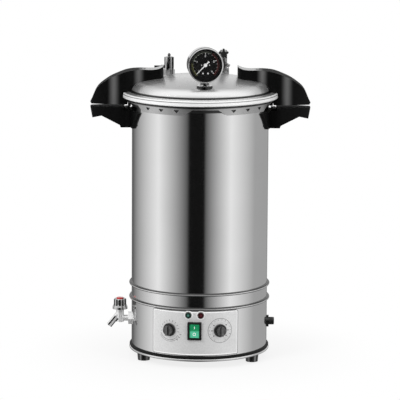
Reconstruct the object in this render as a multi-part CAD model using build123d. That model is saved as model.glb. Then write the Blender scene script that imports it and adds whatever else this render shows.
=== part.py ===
from build123d import *
from math import cos, radians, sin, sqrt
import os

# A portable steam steriliser: a steel pressure vessel on a round base, closed by a turning lid.
# Millimetres, +Z up, front along -Y, origin on the ground under the vessel's axis.
# An azimuth is an angle about +Z, counted from the front towards +X.

# Fits
seat = 0.3
running = 0.3

# Vessel
barrel_radius = 142.0
barrel_wall = 2.0
vessel_floor = 3.0
chamber_depth = 385.5

# Base, from the ground up
foot_height = 14.5
foot_radius = 12.5
foot_flare = 1.2
foot_inset = 12.0
foot_turn = -2.0
foot_spread_deg = 120.0
pan_plate = 1.5
pan_rim_height = 5.5
pan_rim_proud = 4.5
trim_height = 5.0
trim_proud = 4.0
sleeve_wall = 1.5
sleeve_lip = 0.8
bead_height = 5.5
bead_proud = 5.0
band_height = 24.0

# Bayonet
lug_count = 5
lug_turn = 4.0
lug_ring_drop = 0.8
lug_height = 14.0
lug_ring_proud = 2.0
lug_proud = 6.2
lug_width_deg = 30.0
lip_play = 2.0
lip_thickness = 2.5
lip_clear = 0.8
skirt_play = 0.9
skirt_wall = 1.5
cutout_low_deg = 34.0
cutout_high_deg = 20.0
cutout_height = 11.5
cutout_corner = 2.0
hole_count = 3
hole_pitch_deg = 13.2
hole_width = 13.0
hole_height = 6.5
hole_above_lip = 8.5

# Lid
gasket_height = 3.5
gasket_lap_in = 3.5
gasket_lap_out = 3.0
lid_wall = 2.0
lid_ledge = 4.0
dome_foot_proud = 3.0
dome_bulge = 16.94
dome_knuckle_radius = 23.0
dome_height = 45.7
flange_rise = 14.2
flange_edge_drop = 3.0
rim_overhang = 11.4
rim_rise = 0.5
rim_width = 8.0
rim_round = 2.4

# Handles
handle_overhang = 66.2
handle_low_rise = 6.0
handle_lap = 68.3
handle_crest = 13.3
handle_lip_rise = 6.2
handle_drop = 0.8
handle_tip_rise = 3.5
handle_skirt_gap = 0.5
handle_half_width = 27.5
handle_waist = 20.0
handle_end_half = 21.5
handle_tip_half = 14.0
handle_corner = 8.0
handle_gap = 6.0
lower_root_depth = 42.0
lower_step = 5.0
lower_tip_depth = 23.0
lower_notch_depth = 18.5
lower_notch_share = 0.845
lower_root_gap = 14.0
lower_shelf_gap = 7.4
saddle_wall = 5.0
saddle_half_top = 73.0
saddle_half_low = 43.0

# Pressure gauge
gauge_x = 8.5
gauge_inset = 30.0
gauge_yaw = 8.0
gauge_neck_height = 11.2
gauge_case_radius = 35.0
gauge_case_wall = 1.5
gauge_case_back = 16.0
gauge_case_front = 13.0
gauge_bezel_proud = 1.5
gauge_bezel_rise = 5.0
gauge_bezel_overlap = 3.6
gauge_view_lap = 0.5
gauge_groove = 0.5
gauge_bezel_round = 3.0
gauge_lens_thickness = 1.6
gauge_lip = 1.4
gauge_dial_sink = 5.0
gauge_dial_thickness = 1.0
gauge_collar_radius = 16.4
gauge_collar_height = 4.0
gauge_collar_round = 1.8
gauge_neck_radius = 8.8
gauge_neck_flare = 2.5
needle_hub_radius = 3.5
needle_hub_height = 3.0
needle_pin_radius = 1.0
needle_length = 26.0
needle_tail = 9.0
needle_width = 2.4
needle_tip = 0.8
needle_thickness = 0.8
needle_rest = 225.0

# Valves on the lid
safety_x = -66.0
safety_y = 65.0
safety_nut_flats = 21.0
safety_nut_height = 10.0
safety_barrel_radius = 10.0
safety_barrel_height = 26.0
safety_floor = 3.0
safety_bore = 7.0
safety_slot_count = 6
safety_slot_width = 3.6
spindle_radius = 2.6
spindle_collar_radius = 5.2
spindle_collar_drop = 7.0
spindle_head_radius = 3.6
spindle_head_height = 8.0
lever_pin_radius = 1.4
lever_pivot_gap = 4.0
lever_width = 5.0
lever_height = 6.0
lever_length = 17.0
lever_ear_end = 3.0
ear_thickness = 2.0

bleed_x = 48.0
bleed_y = 68.0
bleed_nut_flats = 20.0
bleed_nut_height = 12.0
bleed_body_radius = 7.5
bleed_body_cap = 6.5
bleed_knob_rise = 43.5
bleed_boss_radius = 5.5
bleed_boss_proud = 3.5
bleed_stem_radius = 2.5
bleed_stem_depth = 7.0
bleed_knob_radius = 10.8
bleed_knob_depth = 9.0
bleed_hub_radius = 5.6
bleed_arm_count = 5
bleed_arm_radius = 2.3
bleed_arm_depth = 7.0
bleed_outlet_radius = 3.5
bleed_outlet_bore = 2.0
bleed_outlet_length = 15.0
bleed_outlet_tilt = 55.0
bleed_outlet_rise = 24.0

# Control panel
panel_turn = -3.7
panel_half_deg = 37.5
panel_gap = 2.0
panel_border = 0.7
panel_thickness = 2.5
panel_corner = 4.0
knob_offset_deg = 21.1
control_rise = 52.5
knob_skirt_radius = 13.5
knob_skirt_height = 4.0
knob_body_radius = 10.5
knob_body_height = 12.0
knob_bar_width = 5.0
knob_bar_height = 17.0
knob_stem_radius = 3.0
knob_stem_depth = 8.0
switch_width = 29.0
switch_height = 37.5
switch_frame = 3.5
switch_end_frame = 3.75
switch_proud = 4.0
rocker_side_play = 0.6
rocker_end_play = 1.2
rocker_depth = 8.0
rocker_proud = 5.0
rocker_tilt = 9.0
rocker_valley = 1.6
lamp_offset_deg = 5.05
lamp_gap = 6.75
lamp_ring_radius = 7.5
lamp_ring_height = 2.2
lamp_lens_radius = 6.3
lamp_lens_height = 4.6
lamp_lens_round = 2.0

# Drain tap, at the left side
tap_z = 75.5
tap_standoff = 24.3
tap_nut_flats = 24.0
tap_nut_thickness = 7.0
tap_pipe_radius = 6.2
tap_bonnet_radius = 8.0
tap_bonnet_drop = 8.0
tap_bonnet_rise = 19.5
tap_stem_radius = 3.0
tap_stem_depth = 8.0
tap_knob_top_radius = 13.2
tap_knob_low_radius = 15.6
tap_knob_height = 22.0
tap_flute_count = 12
tap_flute_radius = 2.2
tap_cap_radius = 7.5
tap_cap_height = 2.0
tap_cap_round = 0.8
spout_radius = 6.2
spout_bore = 4.5
spout_length = 36.5
spout_tilt = 39.0
spout_start_rise = 12.5
spout_bore_start = 9.0

# Cable gland, at the right side
gland_z = 71.0
gland_flange_radius = 12.5
gland_flange_thickness = 4.0
gland_cap_radius = 8.0
gland_cap_length = 11.5
gland_bore = 4.0
gland_rib_count = 12
gland_rib_radius = 0.8

# Radii worked out from the sizes above
chamber_radius = barrel_radius - barrel_wall
foot_circle = barrel_radius - foot_inset
bead_radius = barrel_radius + bead_proud
panel_radius = barrel_radius + panel_thickness
lug_radius = barrel_radius + lug_proud
lip_inner = barrel_radius + lug_ring_proud + lip_clear
skirt_inner = lug_radius + skirt_play
skirt_radius = skirt_inner + skirt_wall
gasket_inner = chamber_radius - gasket_lap_in
gasket_outer = barrel_radius + gasket_lap_out
lid_ledge_radius = chamber_radius - lid_ledge
dome_foot_radius = barrel_radius + dome_foot_proud
dome_crown_radius = (dome_foot_radius ** 2 + dome_bulge ** 2) / (2 * dome_bulge)
rim_radius = skirt_radius + rim_overhang
handle_reach = rim_radius + handle_overhang
handle_inner = dome_foot_radius - handle_lap
handle_root = skirt_radius + handle_skirt_gap
lower_root = skirt_radius + lower_root_gap
lower_shelf = skirt_radius + lower_shelf_gap
gauge_y = gauge_inset - dome_foot_radius
gauge_bore = gauge_case_radius - gauge_case_wall
gauge_bezel_radius = gauge_case_radius + gauge_bezel_proud
gauge_view_radius = gauge_bore - gauge_view_lap
lever_pivot_out = safety_barrel_radius + lever_pivot_gap
bleed_boss_reach = bleed_body_radius + bleed_boss_proud
tap_reach = barrel_radius + tap_standoff

# Levels worked out from the sizes above
pan_bottom = foot_height
pan_top = pan_bottom + pan_rim_height
trim_top = pan_top + trim_height
panel_bottom = trim_top + panel_gap
control_z = panel_bottom + control_rise
lamp_z = control_z + switch_height / 2 + lamp_gap + lamp_ring_radius
panel_top = lamp_z + lamp_ring_radius + panel_border
sleeve_top = panel_top + sleeve_lip
lower_bead_top = sleeve_top + bead_height
band_top = lower_bead_top + band_height
vessel_bottom = band_top + bead_height
mouth = vessel_bottom + vessel_floor + chamber_depth
lug_ring_top = mouth - lug_ring_drop
lug_bottom = lug_ring_top - lug_height
lip_top = lug_bottom - lip_play
skirt_bottom = lip_top - lip_thickness
lid_handle_low = skirt_bottom + handle_low_rise
lid_underside = mouth + seat + gasket_height
dome_top = mouth + dome_height
flange_top = mouth + flange_rise
gauge_bezel_front = gauge_case_front + gauge_bezel_rise
gauge_dial_front = gauge_case_front - gauge_dial_sink
dial_back = gauge_dial_front - gauge_dial_thickness
bleed_body_rise = bleed_knob_rise + bleed_body_cap
wall_cut = 4 * (panel_thickness + sleeve_wall)


def ring(inner, outer, low, high):
    """Flat-sided ring about the vessel's axis."""
    height = high - low
    return Pos(0, 0, (low + high) / 2) * (Cylinder(outer, height) - Cylinder(inner, height))


def disc(radius, low, high):
    """Round plate about the local Z axis."""
    return Pos(0, 0, (low + high) / 2) * Cylinder(radius, high - low)


def turned(*points):
    """Solid turned about Z from a closed outline of (radius, height) points."""
    return revolve(Plane.XZ * make_face(Polyline(*points, close=True)), Axis.Z)


def round_bead(inner, outer, low, high):
    """Ring whose outer side is a half circle as high as the ring, or as deep as it allows."""
    half = min((high - low) / 2, outer - inner - 0.1)
    middle = (low + high) / 2
    edges = [
        Polyline((outer - half, middle - half), (outer - half, low), (inner, low), (inner, high),
                 (outer - half, high), (outer - half, middle + half)) if half < (high - low) / 2
        else Polyline((outer - half, low), (inner, low), (inner, high), (outer - half, high)),
        ThreePointArc((outer - half, middle + half), (outer, middle), (outer - half, middle - half)),
    ]
    return revolve(Plane.XZ * make_face(edges), Axis.Z)


def wedge(centre_deg, half_deg, radius, low, high):
    """Sector of a prism about the axis, centred on an azimuth."""
    reach = radius / cos(radians(half_deg))
    side = reach * sin(radians(half_deg))
    outline = make_face(Polyline((0, 0), (side, -radius), (-side, -radius), close=True))
    return Rot(0, 0, centre_deg) * Pos(0, 0, low) * extrude(outline, high - low)


def hexagon(flats, low, high):
    """Hexagonal bar about the local Z axis, given across its flats."""
    return Pos(0, 0, low) * extrude(RegularPolygon(flats / 2, 6, major_radius=False), high - low)


def facing(azimuth, radius, height):
    """Place whose Z axis points straight out of the vessel, with its Y axis up."""
    angle = radians(azimuth)
    outward = (sin(angle), -cos(angle), 0)
    origin = (radius * sin(angle), -radius * cos(angle), height)
    return Plane(origin, x_dir=(cos(angle), sin(angle), 0), z_dir=outward).location


def dome(crown, knuckle, foot, top, bottom):
    """Solid under a pressed dome: a spherical crown, a knuckle and a straight foot."""
    crown_z = top - crown
    knuckle_x = foot - knuckle
    knuckle_z = crown_z + sqrt((crown - knuckle) ** 2 - knuckle_x ** 2)
    lean = knuckle_x / (crown - knuckle)
    rise = (knuckle_z - crown_z) / (crown - knuckle)
    meet = (crown * lean, crown_z + crown * rise)
    half_lean = lean / 2
    crown_mid = (crown * half_lean, crown_z + crown * sqrt(1 - half_lean ** 2))
    bend = sqrt((1 + lean) / 2)
    knuckle_mid = (knuckle_x + knuckle * bend, knuckle_z + knuckle * sqrt(1 - bend ** 2))
    edges = [
        ThreePointArc((0, top), crown_mid, meet),
        ThreePointArc(meet, knuckle_mid, (foot, knuckle_z)),
        Polyline((foot, knuckle_z), (foot, bottom), (0, bottom), (0, top)),
    ]
    return revolve(Plane.XZ * make_face(edges), Axis.Z)


def dome_at(radius):
    """Height of the lid's crown above the ground at a distance from the axis."""
    return dome_top - dome_crown_radius + sqrt(dome_crown_radius ** 2 - radius ** 2)


def lid_crown(grow):
    """The lid's pressed dome down to the bottom of its skirt, grown outwards by a clearance."""
    return dome(dome_crown_radius + grow, dome_knuckle_radius + grow, dome_foot_radius + grow,
                dome_top + grow, skirt_bottom)


def lid_form(grow):
    """The lid's outer form without its skirt, grown outwards by a clearance."""
    crown = lid_crown(grow) & disc(dome_foot_radius + 2 * grow, lid_underside, dome_top + 2 * grow)
    rim_low = mouth + rim_rise - grow
    rim_inner = rim_radius - rim_width - grow
    edge_z = flange_top - flange_edge_drop + grow
    outline = make_face(Polyline(
        (dome_foot_radius - dome_knuckle_radius, lid_underside),
        (dome_foot_radius - dome_knuckle_radius, flange_top + grow),
        (dome_foot_radius, flange_top + grow),
        (rim_radius + grow, edge_z),
        (rim_radius + grow, rim_low),
        (rim_inner, rim_low),
        (rim_inner, lid_underside),
        close=True))
    outer = [v for v in outline.vertices() if v.X > rim_radius + grow - 0.01]
    outline = fillet(outer, rim_round + grow)
    return crown + revolve(Plane.XZ * outline, Axis.Z)


def bayonet(first_deg, cutter):
    """Copies of a cutter, one for each lug, from an azimuth."""
    return [Rot(0, 0, first_deg + turn * 360 / lug_count) * cutter for turn in range(lug_count)]


def make_vessel_shell():
    shell = disc(barrel_radius, vessel_bottom, mouth)
    return shell - disc(chamber_radius, vessel_bottom + vessel_floor, mouth)


def make_vessel_lug_ring():
    lug_ring = ring(barrel_radius, barrel_radius + lug_ring_proud, lug_bottom, lug_ring_top)
    lugs = ring(barrel_radius, lug_radius, lug_bottom, lug_ring_top)
    half_pitch = 180 / lug_count
    for turn in range(lug_count):
        centre = lug_turn + half_pitch + turn * 360 / lug_count
        lug_ring += lugs & wedge(centre, lug_width_deg / 2, lug_radius * 2, lug_bottom, lug_ring_top)
    return lug_ring


def make_base_pan():
    plate = disc(barrel_radius, pan_bottom, pan_bottom + pan_plate)
    return plate + round_bead(barrel_radius, barrel_radius + pan_rim_proud, pan_bottom, pan_top)


def make_base_sleeve():
    sleeve = ring(barrel_radius - sleeve_wall, barrel_radius, pan_bottom + pan_plate, sleeve_top)
    return sleeve - panel_openings()


def make_base_trim_ring():
    return round_bead(barrel_radius, barrel_radius + trim_proud, pan_top, trim_top)


def make_seam_bead(low):
    return round_bead(barrel_radius - sleeve_wall, bead_radius, low, low + bead_height)


def make_middle_band():
    return ring(barrel_radius - sleeve_wall, barrel_radius, lower_bead_top, band_top)


def make_foot(azimuth):
    outline = ((0, 0), (foot_radius, 0), (foot_radius + foot_flare, foot_height), (0, foot_height))
    return Rot(0, 0, azimuth) * Pos(0, -foot_circle, 0) * turned(*outline)


def along(share):
    """Distance from the axis at a share of the lid handle's length."""
    return handle_inner + share * (handle_reach - handle_inner)


def handle_plan(low, high):
    """Outline of a handle seen from above, as a prism along +X."""
    side = Spline(
        (handle_inner, handle_end_half), (along(0.12), handle_waist + 0.5), (along(0.24), handle_waist),
        (along(0.4), handle_half_width - 3), (along(0.54), handle_half_width),
        (along(0.7), handle_half_width - 3), (along(0.86), handle_waist + 0.5),
        (handle_reach, handle_tip_half))
    other = mirror(side, Plane.XZ)
    ends = [Line(side @ 0, other @ 0), Line(side @ 1, other @ 1)]
    outline = make_face([side, other, *ends])
    outline = fillet(outline.vertices(), handle_corner)
    return Pos(0, 0, low) * extrude(outline, high - low)


def make_lid_handle():
    """Lid handle at +X: a grip that runs over the rim and rises at its inner end."""
    crest = dome_top + handle_crest
    waist = crest - handle_drop
    bottom = lid_handle_low
    tip = bottom + handle_tip_rise
    drop = crest - tip
    top = Spline(
        (handle_inner, crest + handle_lip_rise), (along(0.06), crest + 0.25 * handle_lip_rise),
        (along(0.14), waist), (along(0.28), waist), (along(0.36), crest - 0.02 * drop),
        (along(0.49), crest - 0.06 * drop), (along(0.62), crest - 0.16 * drop),
        (along(0.755), crest - 0.3 * drop), (along(0.82), crest - 0.4 * drop),
        (along(0.886), crest - 0.52 * drop), (along(0.93), crest - 0.66 * drop),
        (along(0.965), crest - 0.84 * drop), (handle_reach, tip))
    rest = Polyline((handle_reach, tip), (handle_reach - 2.5, bottom), (handle_root, bottom),
                    (handle_root, lid_underside), (handle_inner, lid_underside),
                    (handle_inner, crest + handle_lip_rise))
    block = extrude(Plane.XZ * make_face([top, rest]), handle_half_width + 1, both=True)
    block = block & handle_plan(bottom, crest + handle_lip_rise)
    return block - lid_form(seat)


def make_vessel_handle():
    """Lower handle at +X: a grip under the lid handle, moulded with a saddle on the barrel."""
    top = lid_handle_low - handle_gap
    saddle_top = skirt_bottom - handle_gap
    low = top - lower_root_depth
    notch = along(lower_notch_share)
    outline = make_face(Polyline(
        (barrel_radius - saddle_wall, saddle_top), (lower_shelf, saddle_top), (lower_shelf, top),
        (handle_reach, top), (handle_reach - 4.5, top - lower_tip_depth),
        (notch, top - lower_notch_depth), (lower_root + 2, low + lower_step), (lower_root, low),
        (barrel_radius - saddle_wall, low), close=True))
    grip = extrude(Plane.XZ * outline, handle_half_width + 1, both=True)
    grip = grip & handle_plan(low, top)
    saddle = ring(barrel_radius + seat, barrel_radius + saddle_wall, low, saddle_top)
    side = make_face(Polyline((-saddle_half_low, low), (saddle_half_low, low), (saddle_half_top, saddle_top),
                              (-saddle_half_top, saddle_top), close=True))
    saddle = saddle & extrude(Plane.YZ * side, barrel_radius * 1.5)
    return grip + saddle - disc(barrel_radius + seat, low - saddle_wall, mouth)


def mirrored(piece):
    return mirror(piece, Plane.YZ)


def make_control_panel():
    plate = ring(barrel_radius, panel_radius, panel_bottom, panel_top)
    plate = plate & wedge(0, panel_half_deg, panel_radius * 2, panel_bottom, panel_top)
    corners = [e for e in plate.edges().filter_by(GeomType.LINE)
               if abs(e.length - panel_thickness) < 0.01]
    plate = fillet(corners, panel_corner)
    return Rot(0, 0, panel_turn) * plate - panel_openings()


def panel_openings():
    """Holes through the panel and the sleeve: two for knob stems, one for the switch."""
    holes = []
    for side in (-1, 1):
        place = facing(panel_turn + side * knob_offset_deg, barrel_radius, control_z)
        holes.append(place * Cylinder(knob_stem_radius + running, wall_cut))
    window = Box(switch_width - 2 * switch_frame, switch_height - 2 * switch_end_frame, wall_cut)
    holes.append(facing(panel_turn, barrel_radius, control_z) * window)
    return holes


def make_knob(azimuth):
    """Panel knob with a skirt, a grip bar and its stem."""
    body = turned((0, 0), (knob_skirt_radius, 0), (knob_skirt_radius, knob_skirt_height * 0.6),
                  (knob_skirt_radius - 1.5, knob_skirt_height), (knob_body_radius, knob_skirt_height),
                  (knob_body_radius - 1, knob_body_height), (0, knob_body_height))
    bar = Box(knob_bar_width, 2 * knob_body_radius - 2, knob_bar_height - knob_skirt_height)
    bar = Pos(0, 0, (knob_bar_height + knob_skirt_height) / 2) * bar
    stem = disc(knob_stem_radius, -knob_stem_depth, 0)
    return facing(azimuth, panel_radius + seat, control_z) * (body + bar + stem)


def make_switch_bezel():
    frame = Box(switch_width, switch_height, 2 * switch_proud)
    frame = fillet(frame.edges().filter_by(Axis.Z), 2.0)
    inside = Box(switch_width - 2 * switch_frame, switch_height - 2 * switch_end_frame, 4 * switch_proud)
    frame = facing(panel_turn, panel_radius, control_z) * (frame - inside)
    return frame - disc(panel_radius, control_z - switch_height, control_z + switch_height)


def make_switch_rocker():
    """Rocker with a shallow V front, pressed in at its upper end."""
    half = switch_height / 2 - switch_end_frame - rocker_end_play
    width = switch_width - 2 * (switch_frame + rocker_side_play)
    front = rocker_depth / 2
    outline = make_face(Polyline((-front, -half), (front, -half), (front - rocker_valley, 0), (front, half),
                                 (-front, half), close=True))
    body = extrude(Plane.YZ * Rot(0, 0, 90) * outline, width / 2, both=True)
    centre = panel_radius + rocker_proud - front
    return facing(panel_turn, centre, control_z) * Rot(-rocker_tilt, 0, 0) * body


def make_lamp_bezel(azimuth):
    hoop = disc(lamp_ring_radius, -lamp_ring_height, lamp_ring_height)
    hoop = fillet(hoop.edges().sort_by(Axis.Z)[-1], lamp_ring_height * 0.4)
    hoop -= disc(lamp_lens_radius + seat, -2 * lamp_ring_height, 2 * lamp_ring_height)
    hoop = facing(azimuth, panel_radius, lamp_z) * hoop
    return hoop - disc(panel_radius, lamp_z - 2 * lamp_ring_radius, lamp_z + 2 * lamp_ring_radius)


def make_lamp_lens(azimuth):
    lens = disc(lamp_lens_radius, -lamp_lens_height, lamp_lens_height)
    lens = fillet(lens.edges().sort_by(Axis.Z)[-1], lamp_lens_round)
    lens = facing(azimuth, panel_radius, lamp_z) * lens
    return lens - disc(panel_radius, lamp_z - 2 * lamp_lens_radius, lamp_z + 2 * lamp_lens_radius)


def make_tap_nut():
    nut = hexagon(tap_nut_flats, -tap_nut_thickness, tap_nut_thickness)
    nut -= disc(tap_pipe_radius, -2 * tap_nut_thickness, 2 * tap_nut_thickness)
    nut = facing(-90, barrel_radius, tap_z) * nut
    return nut - disc(barrel_radius, tap_z - tap_nut_flats, tap_z + tap_nut_flats)


def spout_place():
    return Pos(-tap_reach, 0, tap_z + spout_start_rise) * Rot(0, -180 + spout_tilt, 0)


def make_tap_body():
    bonnet = Pos(-tap_reach, 0, tap_z) * disc(tap_bonnet_radius, -tap_bonnet_drop, tap_bonnet_rise)
    pipe = facing(-90, 0, tap_z) * disc(tap_pipe_radius, barrel_radius - 10, tap_reach)
    pipe -= disc(barrel_radius, tap_z - tap_nut_flats, tap_z + tap_nut_flats)
    spout = spout_place() * disc(spout_radius, 0, spout_length)
    bore = spout_place() * disc(spout_bore, spout_bore_start, spout_length * 1.1)
    body = bonnet + pipe + spout - bore
    socket = disc(tap_stem_radius + running, -tap_stem_depth, 1)
    return body - Pos(-tap_reach, 0, tap_z + tap_bonnet_rise) * socket


def make_tap_knob():
    low = tap_z + tap_bonnet_rise + seat
    knob = turned((0, 0), (tap_knob_low_radius, 0), (tap_knob_low_radius, tap_knob_height * 0.2),
                  (tap_knob_top_radius, tap_knob_height * 0.45), (tap_knob_top_radius, tap_knob_height - 2),
                  (tap_knob_top_radius - 2, tap_knob_height), (0, tap_knob_height))
    flute = Pos(tap_knob_top_radius + tap_flute_radius * 0.4, 0, 0) * disc(
        tap_flute_radius, tap_knob_height * 0.35, tap_knob_height * 1.1)
    for turn in range(tap_flute_count):
        knob -= Rot(0, 0, turn * 360 / tap_flute_count) * flute
    knob += disc(tap_stem_radius, -tap_stem_depth * 0.9, 0)
    return Pos(-tap_reach, 0, low) * knob


def make_tap_cap():
    low = tap_z + tap_bonnet_rise + seat + tap_knob_height
    cap = disc(tap_cap_radius, 0, tap_cap_height)
    cap = fillet(cap.edges().sort_by(Axis.Z)[-1], tap_cap_round)
    return Pos(-tap_reach, 0, low) * cap


def make_gland_flange():
    flange = disc(gland_flange_radius, -gland_flange_thickness, gland_flange_thickness)
    flange -= disc(gland_bore, -2 * gland_flange_thickness, 2 * gland_flange_thickness)
    flange = facing(90, barrel_radius, gland_z) * flange
    return flange - disc(barrel_radius, gland_z - 2 * gland_flange_radius, gland_z + 2 * gland_flange_radius)


def make_gland_cap():
    cap = disc(gland_cap_radius, 0, gland_cap_length)
    cap = fillet(cap.edges().sort_by(Axis.Z)[-1], 2.0)
    for turn in range(gland_rib_count):
        groove = Pos(gland_cap_radius, 0, 0) * disc(gland_rib_radius, -1, gland_cap_length * 0.7)
        cap -= Rot(0, 0, turn * 360 / gland_rib_count) * groove
    cap -= disc(gland_bore, -1, gland_cap_length + 1)
    return facing(90, barrel_radius + gland_flange_thickness, gland_z) * cap


def make_lid_shell():
    """Pressed lid: dome, flange, rolled rim and a skirt with lugs, cut-outs and gusset holes."""
    shell = lid_form(0)
    shell -= lid_crown(-lid_wall) & disc(lid_ledge_radius, lid_underside, dome_top)
    skirt = ring(skirt_inner, skirt_radius, skirt_bottom, lid_underside)
    skirt += ring(lip_inner, skirt_radius, skirt_bottom, lip_top)
    low_half = skirt_radius * sin(radians(cutout_low_deg / 2))
    high_half = skirt_radius * sin(radians(cutout_high_deg / 2))
    slope = (low_half - high_half) / cutout_height
    cutout = make_face(Polyline(
        (-low_half - slope * lip_thickness, skirt_bottom - lip_thickness),
        (low_half + slope * lip_thickness, skirt_bottom - lip_thickness),
        (high_half, skirt_bottom + cutout_height), (-high_half, skirt_bottom + cutout_height), close=True))
    upper = cutout.vertices().sort_by(Axis.Y)[-2:]
    cutout = extrude(Plane.XZ * fillet(upper, cutout_corner), skirt_radius * 1.2)
    for cutter in bayonet(lug_turn, cutout):
        skirt -= cutter
    hole_z = lip_top + hole_above_lip
    tooth = make_face(Polyline(
        (0, hole_z - hole_height), (hole_width / 2, hole_z), (-hole_width / 2, hole_z), close=True))
    tooth = extrude(Plane.XZ * fillet(tooth.vertices(), 0.8), skirt_radius * 1.2)
    half_pitch = 180 / lug_count
    for index in range(hole_count):
        turn = lug_turn + half_pitch + (index - (hole_count - 1) / 2) * hole_pitch_deg
        for cutter in bayonet(turn, tooth):
            skirt -= cutter
    return shell + skirt - valve_bores()


def make_lid_gasket():
    return ring(gasket_inner, gasket_outer, mouth + seat, lid_underside)


def gauge_frame():
    """Place of the gauge: Z axis out of its face, Y axis up, at the middle of its case."""
    angle = radians(gauge_yaw)
    height = dome_at(sqrt(gauge_x ** 2 + gauge_y ** 2)) + gauge_neck_height + gauge_case_radius
    plane = Plane((gauge_x, gauge_y, height), x_dir=(cos(angle), sin(angle), 0),
                  z_dir=(sin(angle), -cos(angle), 0))
    return plane.location


def valve_bores():
    """Holes through the lid under the gauge and the two valves."""
    holes = []
    for x, y, radius in ((gauge_x, gauge_y, 4.0), (safety_x, safety_y, 4.0), (bleed_x, bleed_y, 3.0)):
        holes.append(Pos(x, y, dome_top) * Cylinder(radius, 2 * dome_height))
    return holes


def make_gauge_stem():
    """Round collar on the dome with a neck that flares where it meets the collar."""
    level = dome_at(sqrt(gauge_x ** 2 + gauge_y ** 2))
    flare = gauge_neck_radius + gauge_neck_flare
    rise = gauge_neck_height + gauge_case_radius
    outline = make_face(Polyline(
        (0, -gauge_collar_height), (gauge_collar_radius, -gauge_collar_height),
        (gauge_collar_radius, gauge_collar_height), (flare, gauge_collar_height),
        (gauge_neck_radius, gauge_collar_height + gauge_neck_flare), (gauge_neck_radius, rise), (0, rise),
        close=True))
    rim = [v for v in outline.vertices() if v.X > flare + 0.01 and v.Y > 0]
    stem = revolve(Plane.XZ * fillet(rim, gauge_collar_round), Axis.Z)
    stem = Pos(gauge_x, gauge_y, level) * stem
    stem -= lid_crown(0)
    return stem - gauge_frame() * disc(gauge_case_radius, -gauge_case_back, gauge_case_front)


def make_gauge_case():
    case = disc(gauge_case_radius, -gauge_case_back, gauge_case_front)
    case -= disc(gauge_bore, dial_back, gauge_case_front)
    return gauge_frame() * case


def make_gauge_bezel():
    back = gauge_case_front - gauge_bezel_overlap
    groove = gauge_bore + gauge_groove
    lip = gauge_bezel_front - gauge_lip
    outline = make_face(Polyline(
        (gauge_case_radius, back), (gauge_bezel_radius, back), (gauge_bezel_radius, gauge_bezel_front),
        (gauge_view_radius, gauge_bezel_front), (gauge_view_radius, lip), (groove, lip),
        (groove, gauge_case_front), (gauge_case_radius, gauge_case_front), close=True))
    corner = outline.vertices().sort_by(SortBy.DISTANCE)[-1]
    return gauge_frame() * revolve(Plane.XZ * fillet(corner, gauge_bezel_round), Axis.Z)


def make_gauge_dial():
    dial = disc(gauge_bore, dial_back, gauge_dial_front)
    dial += disc(needle_pin_radius, gauge_dial_front, gauge_dial_front + needle_hub_height * 0.6)
    return gauge_frame() * dial


def make_gauge_glass():
    front = gauge_bezel_front - gauge_lip
    return gauge_frame() * disc(gauge_bore + gauge_groove, front - gauge_lens_thickness, front)


def make_gauge_needle():
    low = gauge_dial_front + seat
    needle = disc(needle_hub_radius, low, low + needle_hub_height)
    half = needle_width / 2
    blade = make_face(Polyline(
        (0, half), (needle_length, needle_tip / 2), (needle_length, -needle_tip / 2), (0, -half),
        (-needle_tail, -half), (-needle_tail, -2 * half), (-needle_tail - half, -2 * half),
        (-needle_tail - half, 2 * half), (-needle_tail, 2 * half), (-needle_tail, half), close=True))
    lift = low + needle_hub_height * 0.4
    needle += Rot(0, 0, needle_rest) * Pos(0, 0, lift) * extrude(blade, needle_thickness)
    needle -= disc(needle_pin_radius + running, low - 1, low + needle_hub_height * 0.7)
    return gauge_frame() * needle


def safety_level():
    return dome_at(sqrt(safety_x ** 2 + safety_y ** 2))


def make_safety_body():
    """Slotted barrel, open at the top between its prongs, with ears for the lever."""
    low = safety_nut_height
    top = low + safety_barrel_height
    body = hexagon(safety_nut_flats, -safety_nut_height, safety_nut_height)
    body += disc(safety_barrel_radius, 0, top)
    body -= disc(safety_bore, low + safety_floor, top + 1)
    body -= disc(spindle_radius + running, low, top)
    slot = Box(2 * safety_barrel_radius, safety_slot_width, safety_barrel_height)
    slot = Pos(safety_barrel_radius, 0, low + safety_floor + safety_barrel_height / 2) * slot
    for turn in range(safety_slot_count):
        body -= Rot(0, 0, (turn + 0.5) * 360 / safety_slot_count) * slot
    ear_length = lever_pivot_out + lever_ear_end
    for side in (-1, 1):
        y = side * (lever_width / 2 + seat + ear_thickness / 2)
        ear = Pos(-ear_length / 2, y, lever_pivot_rise()) * Box(ear_length, ear_thickness, lever_height)
        body += ear - disc(safety_bore, 0, 2 * top)
    pin = Rot(90, 0, 0) * Cylinder(lever_pin_radius, lever_width + 2 * seat + ear_thickness)
    body += Pos(-lever_pivot_out, 0, lever_pivot_rise()) * pin
    body = Pos(safety_x, safety_y, safety_level()) * body
    return body - lid_crown(0)


def lever_pivot_rise():
    return safety_nut_height + safety_floor + lever_height / 2


def make_safety_spindle():
    """Spindle standing in the barrel, with a collar near the top and a pointed head."""
    low = safety_nut_height + seat
    top = safety_nut_height + safety_barrel_height
    neck = spindle_radius * 0.6
    spindle = turned(
        (0, low), (spindle_radius, low), (spindle_radius, top - spindle_collar_drop - 1),
        (spindle_collar_radius, top - spindle_collar_drop), (spindle_collar_radius, top - 1),
        (neck, top - 1), (neck, top + 1), (spindle_head_radius, top + spindle_head_height * 0.5),
        (neck, top + spindle_head_height), (0, top + spindle_head_height))
    return Pos(safety_x, safety_y, safety_level()) * spindle


def make_safety_lever():
    clear = safety_barrel_radius + 0.8
    inner = lever_pivot_out - clear
    lever = Pos((inner - lever_length) / 2, 0, 0) * Box(inner + lever_length, lever_width, lever_height - 2)
    lever -= Rot(90, 0, 0) * Cylinder(lever_pin_radius + running, lever_width + 2)
    place = Pos(safety_x - lever_pivot_out, safety_y, safety_level() + lever_pivot_rise())
    return place * lever


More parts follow.
